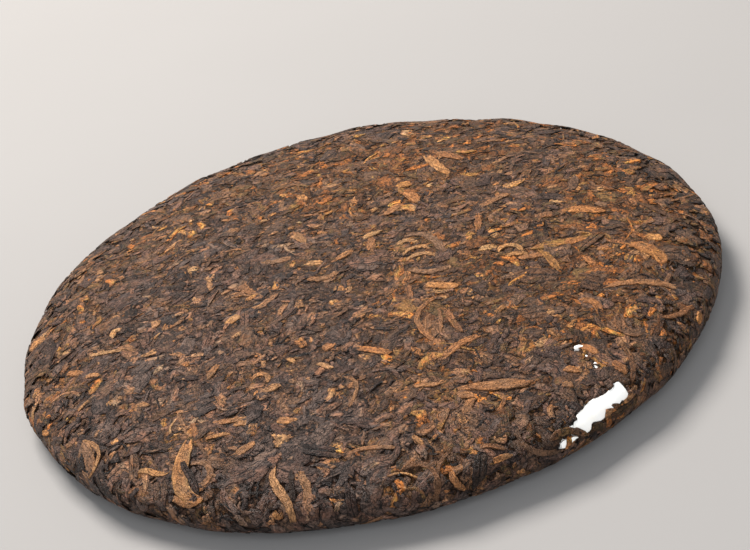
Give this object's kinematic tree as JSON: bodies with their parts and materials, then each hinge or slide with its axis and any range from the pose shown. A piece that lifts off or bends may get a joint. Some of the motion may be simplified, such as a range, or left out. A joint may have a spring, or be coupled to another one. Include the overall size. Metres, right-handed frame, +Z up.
{
  "type": "pressed tea cake",
  "caption": "Round, low-domed cake of pressed dark tea leaves with a rounded rim, a dimpled flat underside and a paper ticket pressed in near the rim.",
  "frame": {"origin": "middle of the underside, on the surface the cake rests on", "axes": "+Z up out of the domed face, -Y towards the viewer, +X to the viewer's right"},
  "size_m": [0.2003, 0.2007, 0.0233],
  "materials": {
    "pressed_tea": "dry, pressed leaf, matt with a faint sheen on the darkest leaves",
    "ticket_paper": "thin matt paper"
  },
  "bodies": {
    "root": {"tea_cake": "pressed_tea", "paper_ticket": "ticket_paper"}
  },
  "joints": []
}
